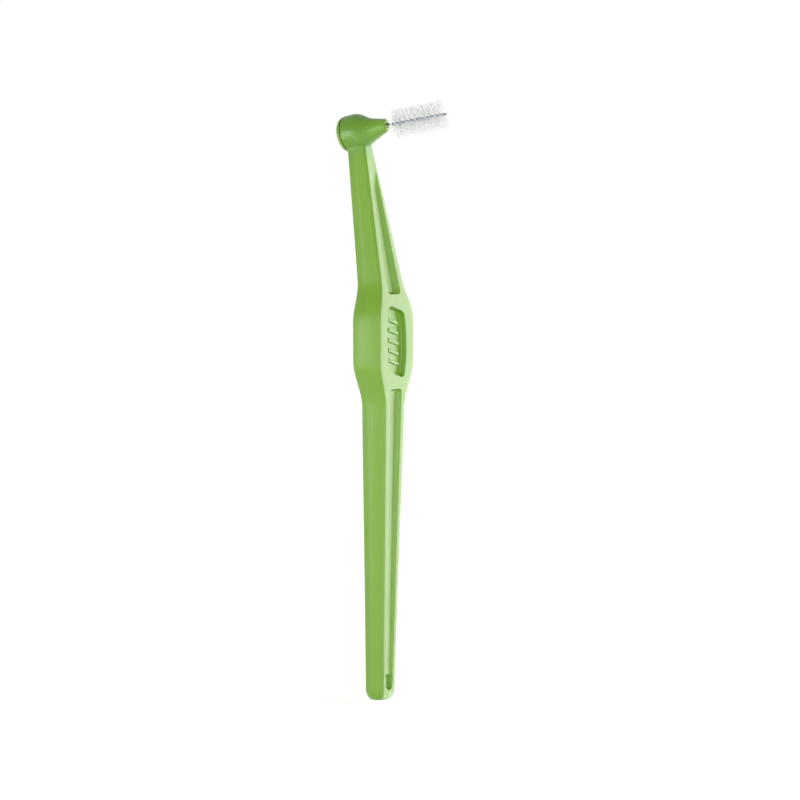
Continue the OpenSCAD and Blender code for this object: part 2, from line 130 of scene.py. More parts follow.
class HandleSizes(PropertyGroup):
    """Sizes of the moulded handle, from its rounded end up to the head's axis."""

    shaft_length: length("Shaft length", "From the rounded end up to the grip pad", 72.8)
    end_width: length("End width", "Width of the shaft at its rounded end", 6.8)
    end_thickness: length("End thickness", "Thickness of the shaft at its rounded end", 5)
    end_round: length("End rounding", "Height over which the end rounds off", 2.9)
    shaft_width: length("Shaft width", "Width of the shaft where the grip pad starts", 10.8)
    shaft_thickness: length("Shaft thickness", "Thickness of the shaft where the pad starts", 6.75)
    shaft_set: length("Shaft set", "How far forward the shaft's centre line lies at the pad", 1)
    pad_width: length("Pad width", "Width of the grip pad", 17.7)
    pad_thickness: length("Pad thickness", "Thickness of the grip pad", 7.8)
    foot_length: length("Lower flank", "Length of the flank from the shaft to the pad", 11.2)
    pad_length: length("Pad length", "Length of the pad's straight stretch", 9.3)
    shoulder_length: length("Upper flank", "Length of the flank from the pad to the neck", 10.2)
    neck_length: length("Neck length", "From the upper flank to the head's axis", 36.8)
    neck_root_width: length("Neck root width", "Width of the neck at its root", 11.9)
    neck_root_thickness: length("Neck root thickness", "Thickness of the neck at its root", 6.8)
    neck_top_width: length("Neck top width", "Width of the neck at the head's axis", 4)
    neck_top_thickness: length("Neck top thickness", "Thickness of the neck at the head's axis", 4.9)
    neck_lean: angle("Neck lean", "Angle by which the neck leans back", 10)
    bend_softness: length("Bend softness", "Length over which the neck's bend is eased", 2)
    edge_radius: length("Edge radius", "Radius along the long edges", 1)
    side_crown: length("Side crown", "Height of the crown of the narrow sides", 0.33)
    parting_width: length("Parting line width", "Width of the fine line where the mould halves meet", 0.2)
    parting_height: length("Parting line height", "Height of that line", 0.02)
    head_fillet: length("Head fillet", "Radius of the fillet between the neck and the head", 0.5)


class ChannelSizes(PropertyGroup):
    """Sizes of the channels, the gate pocket and the grip recess."""

    shaft_end_width: length("Low width", "Width of the shaft's channel near the rounded end", 2.9)
    shaft_top_width: length("High width", "Width of the shaft's channel at its square top", 6)
    shaft_end_depth: length("Low depth", "Depth of the shaft's channel near the rounded end", 0.5)
    shaft_top_depth: length("High depth", "Depth of the shaft's channel at its square top", 1.2)
    shaft_gap: length("Low gap", "From the rounded end to the shaft's channel", 2.5)
    neck_root_width: length("Neck channel foot width", "Width of the neck's channel at its foot", 6.2)
    neck_top_width: length("Neck channel top width", "Width of the neck's channel at its top", 2.9)
    neck_root_depth: length("Neck channel foot depth", "Depth of the neck's channel at its foot", 1.4)
    neck_top_depth: length("Neck channel top depth", "Depth of the neck's channel before it runs out", 0.6)
    neck_gap: length("Neck channel gap", "From the head's axis down to the neck's channel", 8.6)
    runout: length("Run-out", "Length over which the neck's channel runs out", 6)
    wall_run: length("Wall run", "Run of the channels' hollow side walls, from rim to floor", 2.5)
    end_run: length("End wall run", "Run of the steep walls that end the channels at the grip", 0.5)
    foot_run: length("Foot wall run", "Run of the walls round the gate pocket", 1.2)
    recess_run: length("Recess wall run", "Run of the grip recess's steeper walls", 0.5)
    corner_radius: length("Corner radius", "Radius of the corners of the channels and the recess", 1.2)
    rim_round: length("Rim rounding", "Half the width of the rounded rim of a wall", 0.13)
    gate_length: length("Gate pocket length", "Length of the gate pocket", 3.8)
    gate_depth: length("Gate pocket depth", "Depth of the gate pocket below the floor", 0.9)
    recess_length: length("Recess length", "Length of the grip recess along its middle", 16.3)
    recess_width: length("Recess width", "Width of the grip recess", 9.1)
    recess_depth: length("Recess depth", "Depth of the grip recess", 1.4)
    recess_slant: angle("Recess slant", "Slant of the recess's ends and of the ribs", 12.5)
    bridge: length("Bridge", "Solid face between the recess and the channels", 3.6)
    rib_count: IntProperty(name="Ribs", description="Number of grip ribs", default=5, min=1)
    rib_pitch: length("Rib pitch", "Distance from rib to rib", 2.5)
    rib_width: length("Rib width", "Width of a rib", 0.9)
    rib_length: length("Rib length", "Length of a rib", 5.4)
    rib_height: length("Rib height", "Height of a rib above the recess's floor", 0.5)
    rib_edge: length("Rib edge", "Rounding of a rib's top edge", 0.2)


class HeadSizes(PropertyGroup):
    """Sizes of the round head, its nozzle and the cap behind it."""

    radius: length("Head radius", "Radius of the head's round body", 4.6)
    length: length("Head length", "From the cap's seat to the nozzle's end", 11.2)
    back: length("Head back", "From the neck's axis back to the cap's seat", 2.5)
    tilt: angle("Head tilt", "Angle by which the head's axis rises towards the brush", 11)
    shoulder_start: length("Shoulder start", "From the cap's seat to the shoulder", 2.3)
    shoulder_run: length("Shoulder run", "Length over which the body narrows", 4.75)
    nozzle_root_radius: length("Nozzle root", "Radius of the nozzle at its foot", 2.6)
    nozzle_tip_radius: length("Nozzle tip", "Radius of the nozzle at its end", 1.55)
    chin_start: length("Chin start", "From the cap's seat to where the underside starts to narrow", 4)
    chin_end: length("Chin end", "From the cap's seat to where the underside meets the nozzle", 8.8)
    mouth_radius: length("Mouth radius", "Radius of the recess round the wire at the nozzle's end", 0.66)
    mouth_depth: length("Mouth depth", "Depth of that recess", 1.2)
    nozzle_round: length("Nozzle rounding", "Radius of the rounded edge at the nozzle's end", 0.8)
    pocket_depth: length("Pocket depth", "Depth of the pocket behind the nozzle", 2.2)
    pocket_radius: length("Pocket radius", "Radius of that pocket", 2.6)
    seam_chamfer: length("Seam chamfer", "Chamfer on each side of the cap's seam", 0.22)
    seam_depth: length("Seam depth", "Depth of the groove between the head and the cap", 0.42)
    seam_floor: length("Seam floor", "Half the width of that groove's floor", 0.07)
    cap_radius: length("Cap radius", "Radius of the rear cap", 4.5)
    cap_thickness: length("Cap thickness", "Thickness of the cap behind its seat", 1.49)
    cap_round: length("Cap rounding", "Radius of the cap's rounded back edge", 1.3)
    spigot_length: length("Spigot length", "Length of the cap's spigot in the pocket", 1)
    spigot_wall: length("Spigot wall", "Wall of the spigot", 0.8)
    spigot_gap: length("Spigot gap", "Clearance of the spigot in the pocket", 0.04)


class BrushSizes(PropertyGroup):
    """Sizes of the twisted wire and of the bristles that it clamps."""

    wire_diameter: length("Wire diameter", "Diameter of the folded wire", 0.34)
    wire_out: length("Wire length", "Length of the wire in front of the nozzle", 16.88)
    wire_dip: angle("Wire dip", "Angle by which the wire dips from the nozzle's axis in front of it", 2.4)
    twist_pitch: length("Twist pitch", "Length of one full turn of the twist", 2.8)
    bore_gap: length("Bore gap", "Clearance of the wire in the nozzle's bore", 0.05)
    anchor_bend: length("Anchor bend", "Radius of the bends in the pocket", 0.4)
    anchor_reach: length("Anchor reach", "From the head's axis to each anchored end", 2)
    layer_thickness: length("Layer thickness", "Thickness of the filaments between the legs", 0.08)
    layer_gap: length("Layer gap", "Clearance between that layer and each leg", 0.03)
    diameter: length("Brush diameter", "Diameter across the bristles", 7.3)
    bare_tip: length("Bare tip", "Bare wire in front of the last bristle", 1.2)
    filament: length("Filament", "Thickness of one nylon filament", 0.03)
    filaments: IntProperty(
        name="Filaments a turn", description="Filaments clamped in one turn of the wire", default=84, min=1
    )
    lean: length("Lean", "How far the tips lean towards the wire's tip", 0.35)


class Finish(PropertyGroup):
    """Colours of the pieces and of the studio."""

    plastic: colour("Plastic", "Green of the moulded handle", "#7eaf2a")
    plastic_pale: colour("Plastic, pale", "Green where the melt cooled a little paler", "#84b530")
    # Painted shade: a darker green for the head, standing in for the shade on it
    plastic_head_shade: colour("Plastic, painted head shade", "Green darkened on the head as painted shade", "#6da128")
    cap: colour("Cap", "Green of the rear cap", "#82af32")
    steel: colour("Steel", "Drawn stainless steel", "#b2bdc2")
    nylon: colour("Nylon", "White nylon filament", "#fdfefe")
    backdrop: colour("Backdrop", "White paper of the studio", "#ffffff")


class StudioSizes(PropertyGroup):
    """Place of the camera and of the lamps."""

    azimuth: angle("Azimuth", "Angle of the view round the brush", 30)
    elevation: angle("Elevation", "Angle of the view above the horizon", 2)
    distance: length("Distance", "From the camera to the brush", 1097.8)
    lens: FloatProperty(name="Lens", description="Focal length in millimetres", default=200)
    aim_side: length("Aim, sideways", "From the shaft's foot to the middle of the picture", 4.94)
    aim_height: length("Aim, up", "Height of the middle of the picture", 74.2)
    lamp_distance: length("Lamp distance", "From the brush to each lamp", 700)


def mix(a, b, share):
    """The value at that share of the way from a to b."""
    return a + (b - a) * share


def clamp(value, low, high):
    """The value, kept between low and high."""
    return max(low, min(high, value))


def smooth(share):
    """An S-shaped step from 0 to 1."""
    t = clamp(share, 0, 1)
    return t * t * (3 - 2 * t)


def eased(u, soft):
    """u where it is above zero and nothing below, with the bend between eased over a length."""
    return (u + math.sqrt(u * u + soft * soft)) / 2


class HandleForm:
    """The handle's section at any height. A column is one of the points that go round it."""

    ROUND_SHARES = (-1.3, -1, -0.5, 0, 0.5, 1)
    WALL_SHARES = (0.1, 0.2, 0.32, 0.45, 0.6, 0.75, 0.88, 1)
    FLOOR_SHARES = (-0.7, -0.35, 0, 0.35, 0.7)
    CROWN_SHARES = (0.75, 0.45, 0.2)
    CORNER_STEPS = 8
    END_FLAT_SHARE = 0.47
    WALL_RUN_SHARE = 0.9
    CORNER_SHARES = (0.1, 0.25, 0.45, 0.7, 1)
    RECESS_BOW_SHARE = 0.11
    RECESS_LEAST_SHARE = 0.8
    RIM_LEAST_SHARE = 0.4
    LEAN_SHARE = 0.8
    RING_GAP = 0.05 * MM
    STRETCH_STEPS = (22, 16, 9, 16, 12, 8)

    def __init__(self, handle, channels):
        h, c = self.h, self.c = handle, channels
        self.pad_z = h.shaft_length + h.foot_length
        self.shoulder_z = self.pad_z + h.pad_length
        self.neck_z = self.shoulder_z + h.shoulder_length
        self.head_z = self.neck_z + h.neck_length
        self.pad_mid_z = (self.pad_z + self.shoulder_z) / 2
        self.bend_z = (self.shoulder_z + self.neck_z) / 2
        self.shaft_chan_top = self.pad_mid_z - c.recess_length / 2 - c.bridge
        self.neck_chan_root = self.pad_mid_z + c.recess_length / 2 + c.bridge
        self.neck_chan_top = self.head_z - c.neck_gap
        self.gate_top = c.shaft_gap + c.gate_length
        self.columns = self.all_columns()

    def all_columns(self):
        """Every column as (kind, share or angle, face or flank, side), counter-clockwise from above."""
        corner = [90 * k / self.CORNER_STEPS for k in range(self.CORNER_STEPS + 1)]
        crown = [*self.CROWN_SHARES, 0, *(-t for t in reversed(self.CROWN_SHARES))]
        columns = []
        for face, start in ((1, 0), (-1, 180)):
            near = [("rim", 0.5, face, -face)]
            near += [("round", t, face, -face) for t in self.ROUND_SHARES]
            near += [("wall", t, face, -face) for t in self.WALL_SHARES]
            far = [(kind, t, face, face) for kind, t, _, _ in reversed(near)]
            floor = [("floor", t * face, face, 0) for t in self.FLOOR_SHARES]
            columns += near + floor + far
            columns += [("corner", start + a, face, face) for a in corner]
            columns += [("crown", t * face, 0, face) for t in crown]
            columns += [("corner", start + 90 + a, -face, face) for a in corner]
        return columns

    def wall(self, gap, run):
        """Share of its depth that a moulded wall has at a gap from its rim: rounded rim, then hollow."""
        r = self.c.rim_round
        t = max(gap, -r)
        t = (t + r) ** 2 / (4 * r) if t < r else t
        return 1 - (1 - min(t / run, 1)) ** 3

    def wall_gaps(self, run):
        """Gaps from the rim at which a wall has points."""
        r = self.c.rim_round
        return [t * r for t in self.ROUND_SHARES] + [mix(r, run, t) for t in self.WALL_SHARES]

    def end_factor(self, z):
        """Narrowing of the section over the rounded end."""
        if z >= self.h.end_round:
            return 1
        return mix(self.END_FLAT_SHARE, 1, math.sqrt(1 - (1 - z / self.h.end_round) ** 2))

    def along(self, z, end, shaft, pad, root, top):
        """A size along the handle: tapered on the shaft and the neck, constant on the pad."""
        h = self.h
        if z < self.pad_mid_z:
            taper = mix(end, shaft, z / h.shaft_length)
            return mix(taper, pad, smooth((z - h.shaft_length) / h.foot_length))
        taper = mix(root, top, (z - self.neck_z) / h.neck_length)
        return mix(taper, pad, smooth((self.neck_z - z) / h.shoulder_length))

    def width(self, z):
        """Width of the solid section."""
        h = self.h
        sizes = h.end_width, h.shaft_width, h.pad_width, h.neck_root_width, h.neck_top_width
        return self.end_factor(z) * self.along(z, *sizes)

    def thickness(self, z):
        """Thickness of the solid section."""
        h = self.h
        low = h.end_thickness, h.shaft_thickness, h.pad_thickness
        return self.end_factor(z) * self.along(z, *low, h.neck_root_thickness, h.neck_top_thickness)

    def centre(self, z):
        """Place of the section's middle along X."""
        h = self.h
        leaning = math.tan(h.neck_lean) * eased(z - self.bend_z, h.bend_softness)
        return h.shaft_set * min(1, z / h.shaft_length) - leaning

    def channel_shares(self, z):
        """How far up the shaft's channel and the neck's channel a height is."""
        low = (z - self.c.shaft_gap) / (self.shaft_chan_top - self.c.shaft_gap)
        return low, (z - self.neck_chan_root) / (self.neck_chan_top - self.neck_chan_root)

    def channel_half(self, z):
        """Half the width of the channel or the recess."""
        c = self.c
        low, high = self.channel_shares(z)
        at = (z - self.pad_mid_z) / (c.recess_length / 2)
        if z <= self.shaft_chan_top:
            full = mix(c.shaft_end_width, c.shaft_top_width, low)
            full -= self.corner(min(z - c.shaft_gap, self.shaft_chan_top - z))
        elif z >= self.neck_chan_root:
            full = mix(c.neck_root_width, c.neck_top_width, high) - self.corner(z - self.neck_chan_root)
        else:
            bowed = c.recess_width * (1 - 2 * self.RECESS_BOW_SHARE * at * at)
            bowed -= self.corner((1 - abs(at)) * c.recess_length / 2)
            full = max(bowed, self.RECESS_LEAST_SHARE * c.shaft_top_width)
        factor = self.end_factor(z)
        most = self.width(z) - (2 * factor + self.RIM_LEAST_SHARE) * self.h.edge_radius
        return min(factor * full, most) / 2

    def corner(self, gap):
        """How much narrower a channel is at a gap from its end, for its rounded corners."""
        r = self.c.corner_radius
        t = 1 - clamp(gap / r, 0, 1)
        return 2 * r * (1 - math.sqrt(1 - t * t))

    def channel_depth(self, z, face):
        """Depth of the channel's or the recess's floor at a height, on the front (1) or the back (-1)."""
        c = self.c
        low, high = (clamp(share, 0, 1) for share in self.channel_shares(z))
        gate = c.gate_depth * self.wall(self.gate_top - z, c.foot_run) if face > 0 else 0
        shaft = mix(c.shaft_end_depth, c.shaft_top_depth, low) + gate
        shaft *= self.wall(z - c.shaft_gap, c.foot_run) * self.wall(self.shaft_chan_top - z, c.end_run)
        neck = mix(c.neck_root_depth, c.neck_top_depth, high)
        neck *= self.wall(z - self.neck_chan_root, c.end_run) * smooth((self.neck_chan_top - z) / c.runout)
        grip = c.recess_depth * self.wall(c.recess_length / 2 - abs(z - self.pad_mid_z), c.recess_run)
        return max(shaft, neck, grip)

    def place(self, column, z, zc):
        """(x, y) of a column from the section's middle, with the solid taken at z and the channel at zc."""
        kind, share, face, side = column
        factor = self.end_factor(z)
        edge = factor * self.h.edge_radius
        half_x, half_y = self.thickness(z) / 2, self.width(z) / 2
        if kind == "corner":
            a = math.radians(share)
            x = face * (half_x - edge) + edge * math.cos(a)
            return x, side * (half_y - edge) + edge * math.sin(a)
        if kind == "crown":
            line = self.h.parting_height * (share == 0)
            crown = factor * self.h.side_crown * (1 - share * share) + line
            if 0 < abs(share) <= self.CROWN_SHARES[-1]:
                x = math.copysign(self.h.parting_width / 2 * factor, share)
                crown = factor * self.h.side_crown * (1 - (x / max(half_x - edge, x)) ** 2)
            else:
                x = share * (half_x - edge)
            return x, side * (half_y + crown)
        half = self.channel_half(zc)
        run = self.c.recess_run if self.shaft_chan_top < zc < self.neck_chan_root else self.c.wall_run
        run = min(run, self.WALL_RUN_SHARE * half)
        depth = self.channel_depth(zc, face)
        if kind == "rim":
            inner = half - self.c.rim_round * self.ROUND_SHARES[0]
            return face * half_x, side * mix(half_y - edge, inner, share)
        if kind in ("round", "wall"):
            gap = self.c.rim_round * share if kind == "round" else mix(self.c.rim_round, run, share)
            return face * (half_x - depth * self.wall(gap, run)), side * (half - gap)
        return face * (half_x - depth), share * (half - run)

    def slant(self, zc, y):
        """How far a column's point leaves its ring's height, beside the recess's slanted ends."""
        c = self.c
        ease = c.bridge * self.LEAN_SHARE
        lean = smooth((zc - self.shaft_chan_top) / ease) * smooth((self.neck_chan_root - zc) / ease)
        return -math.tan(c.recess_slant) * clamp(y, -c.recess_width / 2, c.recess_width / 2) * lean

    def point(self, column, zc):
        """The point of a column on the ring of height zc."""
        x, y = self.place(column, zc, zc)
        z = zc + self.slant(zc, y)
        if z != zc:
            x, y = self.place(column, z, zc)
        return Vector((self.centre(z) + x, y, z))

    def heights(self, top):
        """Heights of the rings up to top, closer together where the shape turns."""
        h, c = self.h, self.c
        half = c.recess_length / 2
        found = [h.end_round * (1 - math.cos(a)) for a in arc(END_STEPS)]
        for start, way, run in (
            (c.shaft_gap, 1, c.foot_run),
            (self.gate_top, -1, c.foot_run),
            (self.shaft_chan_top, -1, c.end_run),
            (self.pad_mid_z - half, 1, c.recess_run),
            (self.pad_mid_z + half, -1, c.recess_run),
            (self.neck_chan_root, 1, c.end_run),
        ):
            found += [start + way * gap for gap in self.wall_gaps(run)]
            found += [start + way * c.corner_radius * t for t in self.CORNER_SHARES]
        marks = self.gate_top, h.shaft_length, self.pad_z, self.shoulder_z, self.neck_z
        marks += self.neck_chan_top - c.runout, self.neck_chan_top
        for low, high, steps in zip(marks, marks[1:], self.STRETCH_STEPS):
            found += [mix(low, high, k / steps) for k in range(steps + 1)]
        found += [mix(self.neck_chan_top, top, k / 2) for k in range(2)]
        kept = []
        for z in sorted(z for z in found if z < top):
            if not kept or z - kept[-1] > self.RING_GAP:
                kept.append(z)
        return kept


class HeadForm:
    """The head's axis and outline. Places on it are s along the axis and r out from it."""

    def __init__(self, head, brush, form):
        self.h, self.b = head, brush
        self.axis = Vector((math.cos(head.tilt), 0, math.sin(head.tilt)))
        self.up = Vector((-math.sin(head.tilt), 0, math.cos(head.tilt)))
        self.across = Vector((0, 1, 0))
        middle = Vector((form.centre(form.head_z), 0, form.head_z))
        self.seat = middle - self.axis * head.back
        self.middle = self.seat + self.axis * head.shoulder_start
        self.leg_radius = brush.wire_diameter / 2
        self.leg_offset = self.leg_radius + brush.layer_thickness / 2 + brush.layer_gap
        self.bore = self.leg_offset + self.leg_radius + brush.bore_gap
        self.tip = head.length + brush.wire_out
        self.brush_end = self.tip - brush.bare_tip
        self.brush_start = self.brush_end - TURNS * brush.twist_pitch

    def local(self, p):
        """(s, across, up) of a point, measured from the cap's seat."""
        d = p - self.seat
        return d.dot(self.axis), d.dot(self.across), d.dot(self.up)

    def world(self, s, t, n):
        """The point at (s, across, up)."""
        return self.seat + self.axis * s + self.across * t + self.up * n

    def turned(self, s, r, a):
        """The point at s, r out from the axis, at an angle that starts level and across."""
        return self.world(s, r * math.sin(a), -r * math.cos(a))

    def radius(self, s):
        """Outer radius of the head and the nozzle."""
        h = self.h
        root = h.shoulder_start + h.shoulder_run
        nozzle = mix(h.nozzle_root_radius, h.nozzle_tip_radius, (s - root) / (h.length - root))
        return mix(h.radius, nozzle, smooth((s - h.shoulder_start) / h.shoulder_run))

    def twist(self, s):
        """Angle of the pair of legs at s."""
        return 2 * math.pi * (s - self.brush_start) / self.b.twist_pitch

    def dip(self, s):
        """How far below the nozzle's axis the wire's middle lies at s."""
        return self.up * -math.tan(self.b.wire_dip) * eased(s - self.h.length, self.b.wire_diameter)


def arc(steps, start=0, end=90):
    """Angles in radians from start to end, both in degrees."""
    return [math.radians(mix(start, end, k / steps)) for k in range(steps + 1)]


def extrude_ring(bm, edges, points, column):
    """Extrudes a loop of edges to new points, which are given by each vertex's column."""
    made = bmesh.ops.extrude_edge_only(bm, edges=edges)["geom"]
    for v in made:
        if isinstance(v, bmesh.types.BMVert):
            v.co = points[v[column]]
    return [e for e in made if isinstance(e, bmesh.types.BMEdge)]


def start_ring(bm, points):
    """A first loop through these points, with each vertex's column noted in a layer."""
    column = bm.verts.layers.int.new("column")
    verts = bmesh.ops.create_circle(bm, segments=len(points), radius=1)["verts"]
    for k, v in enumerate(verts):
        v[column] = k
        v.co = points[k]
    return list(bm.edges), column


def close_ring(bm, edges, column, hub):
    """Closes a loop with a fan round the point hub."""
    count = 1 + max(v[column] for e in edges for v in e.verts)
    loop = extrude_ring(bm, edges, [hub] * count, column)
    bmesh.ops.pointmerge(bm, verts=list({v for e in loop for v in e.verts}), merge_co=hub)


def skin(rings, low_hub, high_hub):
    """A closed skin over rings of points, from the first ring to the last."""
    bm = bmesh.new()
    first, column = start_ring(bm, rings[0])
    edges = first
    for ring in rings[1:]:
        edges = extrude_ring(bm, edges, ring, column)
    close_ring(bm, edges, column, high_hub)
    close_ring(bm, first, column, low_hub)
    return bm


def revolve(profile, head):
    """A profile of (r, s) pairs spun round the head's axis. It is closed, or ends on the axis twice."""
    bm = bmesh.new()
    verts = [bm.verts.new(head.turned(s, r, 0)) for r, s in profile]
    ends_on_axis = profile[0][0] == 0 and profile[-1][0] == 0
    pairs = list(zip(verts, verts[1:]))
    if not ends_on_axis:
        pairs.append((verts[-1], verts[0]))
    edges = [bm.edges.new(pair) for pair in pairs]
    bmesh.ops.spin(
        bm,
        geom=verts + edges,
        cent=head.seat,
        axis=head.axis,
        angle=2 * math.pi,
        steps=HEAD_SIDES,
        use_merge=True,
    )
    return bm


def finish_mesh(bm, name, material, sharp_degrees=None):
    """Makes a bmesh an object: doubles merged, normals outwards, shaded smooth."""
    bmesh.ops.remove_doubles(bm, verts=bm.verts, dist=SAME_POINT)
    bmesh.ops.recalc_face_normals(bm, faces=bm.faces)
    for f in bm.faces:
        f.smooth = True
    mesh = bpy.data.meshes.new(name)
    bm.to_mesh(mesh)
    bm.free()
    if sharp_degrees:
        mesh.set_sharp_from_angle(angle=math.radians(sharp_degrees))
    mesh.materials.append(material)
    obj = bpy.data.objects.new(name, mesh)
    bpy.context.scene.collection.objects.link(obj)
    return obj


def dress(obj, slot, *nodes):
    """Lets a finished piece stand for CAD nodes, with their body. The slot is not used."""
    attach(obj, BODY)
    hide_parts(*nodes)


def add_node(tree, kind, settings=None, links=None):
    """Adds a shader node. Settings and links name its inputs or number them, and settings name options."""
    made = tree.nodes.new("ShaderNode" + kind)
    for name, value in (settings or {}).items():
        if isinstance(name, int) or name in made.inputs:
            made.inputs[name].default_value = value
        else:
            setattr(made, name, value)
    for name, source in (links or {}).items():
        tree.links.new(source, made.inputs[name])
    return made


def new_material(name):
    """An empty material, and its node tree."""
    material = bpy.data.materials.new(name)
    material.use_nodes = True
    material.node_tree.nodes.clear()
    return material, material.node_tree


def rgba(value, share=1):
    """A colour with full alpha, or that share of it."""
    return (*(share * part for part in value), 1)


def fine_grain(tree, place, size, detail, low, high):
    """A noise of that size, and the roughness between low and high that follows it."""
    grain = add_node(tree, "TexNoise", {"Scale": 1 / size, "Detail": detail}, {"Vector": place})
    height = grain.outputs["Fac"]
    rough = add_node(tree, "MapRange", {"To Min": low, "To Max": high}, {"Value": height})
    return height, rough.outputs["Result"]


def moulded_polypropylene(name, plain, pale, head_shade=None, middle=None):
    """Polypropylene, injection moulded in a fine satin tool: a soft milky green with a broad sheen.

    Where a second, darker green is given, it is painted round the point middle as shade on the head.
    """
    material, tree = new_material(name)
    place = add_node(tree, "TexCoord").outputs["Object"]
    # Flow marks: long, faint changes of tone along the handle, some 3 mm across
    along = add_node(tree, "Mapping", {"Scale": (1, 1, 0.15)}, {"Vector": place}).outputs["Vector"]
    flow = add_node(tree, "TexNoise", {"Scale": 1 / (6 * MM), "Detail": 2.0}, {"Vector": along})
    tones = {"data_type": "RGBA", MIX_A: rgba(plain), MIX_B: rgba(pale)}
    tone = add_node(tree, "Mix", tones, {"Factor": flow.outputs["Fac"]}).outputs[MIX_RESULT]
    if head_shade is not None:
        # Painted shade: the head is made a darker green than the neck and nozzle beside it, for the shade
        # that falls on it
        away = add_node(tree, "VectorMath", {"operation": "DISTANCE", 1: middle}, {0: place})
        head_shade_share = add_node(
            tree,
            "MapRange",
            {"From Min": 4.6 * MM, "From Max": 8.6 * MM, "To Min": 1.0, "To Max": 0.0},
            {"Value": away.outputs["Value"]},
        ).outputs["Result"]
        tones = {"data_type": "RGBA", MIX_B: rgba(head_shade)}
        tone = add_node(tree, "Mix", tones, {"Factor": head_shade_share, MIX_A: tone}).outputs[MIX_RESULT]
    # Satin of the spark-eroded mould: a grain of 0.3 mm, drawn coarser than the real 0.05 mm to show
    height, rough = fine_grain(tree, place, size=0.6 * MM, detail=3.0, low=0.28, high=0.36)
    bump = add_node(tree, "Bump", {"Strength": 0.25, "Distance": 0.01 * MM}, {"Height": height})
    plastic = add_node(
        tree,
        "BsdfPrincipled",
        {
            "IOR": 1.49,
            "Subsurface Weight": 0.08,
            "Subsurface Radius": (1.0, 1.3, 0.4),
            "Subsurface Scale": 1 * MM,
        },
        {"Base Color": tone, "Roughness": rough, "Normal": bump.outputs["Normal"]},
    )
    add_node(tree, "OutputMaterial", links={"Surface": plastic.outputs["BSDF"]})
    return material


def drawn_steel(name, tint, head):
    """Stainless steel, drawn to a fine wire: a grey mirror, with painted shade between the legs and darker
    at the fold.
    """
    material, tree = new_material(name)
    place = add_node(tree, "TexCoord").outputs["Object"]
    # The wire's own axis, from the nozzle's end towards the tip
    way = {"Location": head.world(head.h.length, 0, 0), "Rotation": (0, head.b.wire_dip - head.h.tilt, 0)}
    along = add_node(tree, "Mapping", {"vector_type": "TEXTURE", **way}, {"Vector": place})
    parts = add_node(tree, "SeparateXYZ", links={"Vector": along.outputs["Vector"]}).outputs
    section = add_node(tree, "CombineXYZ", links={"Y": parts["Y"], "Z": parts["Z"]})
    out = add_node(tree, "VectorMath", {"operation": "LENGTH"}, {"Vector": section.outputs["Vector"]})
    # Painted shade: the groove between the two legs is darkened, so it reads as a dark spot at each
    # crossing
    groove = add_node(
        tree,
        "MapRange",
        {"From Min": 0.18 * MM, "From Max": 0.3 * MM, "To Min": 0.03, "To Max": 1.0},
        {"Value": out.outputs["Value"]},
    )
    # The tight fold is darkened towards the tip, over half a millimetre
    end = head.b.wire_out
    fold = add_node(
        tree,
        "MapRange",
        {"From Min": end - 0.9 * MM, "From Max": end - 0.4 * MM, "To Min": 1.0, "To Max": 0.1},
        {"Value": parts["X"]},
    )
    shades = {0: groove.outputs["Result"], 1: fold.outputs["Result"]}
    bright = add_node(tree, "Math", {"operation": "MULTIPLY"}, shades).outputs["Value"]
    tones = {"data_type": "RGBA", MIX_A: rgba(tint, share=0.04), MIX_B: rgba(tint)}
    tone = add_node(tree, "Mix", tones, {"Factor": bright}).outputs[MIX_RESULT]
    # Marks of the die, some 0.1 mm apart
    _, rough = fine_grain(tree, place, size=0.2 * MM, detail=2.0, low=0.22, high=0.38)
    steel = add_node(tree, "BsdfPrincipled", {"Metallic": 1.0}, {"Base Color": tone, "Roughness": rough})
    add_node(tree, "OutputMaterial", links={"Surface": steel.outputs["BSDF"]})
    return material


def nylon_filament(name, tint):
    """Nylon, extruded to fine filaments: milky white, with soft light inside it."""
    material, tree = new_material(name)
    place = add_node(tree, "TexCoord").outputs["Object"]
    # Filaments differ a little in tone, in patches of about a millimetre
    patches = add_node(tree, "TexNoise", {"Scale": 1 / (1 * MM), "Detail": 1.0}, {"Vector": place})
    tones = {"data_type": "RGBA", MIX_A: rgba(tint, share=0.98), MIX_B: rgba(tint)}
    tone = add_node(tree, "Mix", tones, {"Factor": patches.outputs["Fac"]}).outputs[MIX_RESULT]
    nylon = add_node(
        tree,
        "BsdfPrincipled",
        {
            "IOR": 1.53,
            "Roughness": 0.5,
            "Subsurface Weight": 1.0,
            "Subsurface Radius": (1.0, 1.0, 1.0),
            "Subsurface Scale": 0.1 * MM,
        },
        {"Base Color": tone},
    )
    add_node(tree, "OutputMaterial", links={"Surface": nylon.outputs["BSDF"]})
    return material


def background_rays(tree):
    """One for a ray that is to see a white background, and the same for reflections alone."""
    path = add_node(tree, "LightPath").outputs
    mirrored = path["Is Glossy Ray"]
    seen = add_node(tree, "Math", {"operation": "MAXIMUM"}, {0: path["Is Camera Ray"], 1: mirrored})
    through = {0: seen.outputs["Value"], 1: path["Is Transmission Ray"]}
    return add_node(tree, "Math", {"operation": "MAXIMUM"}, through).outputs["Value"], mirrored


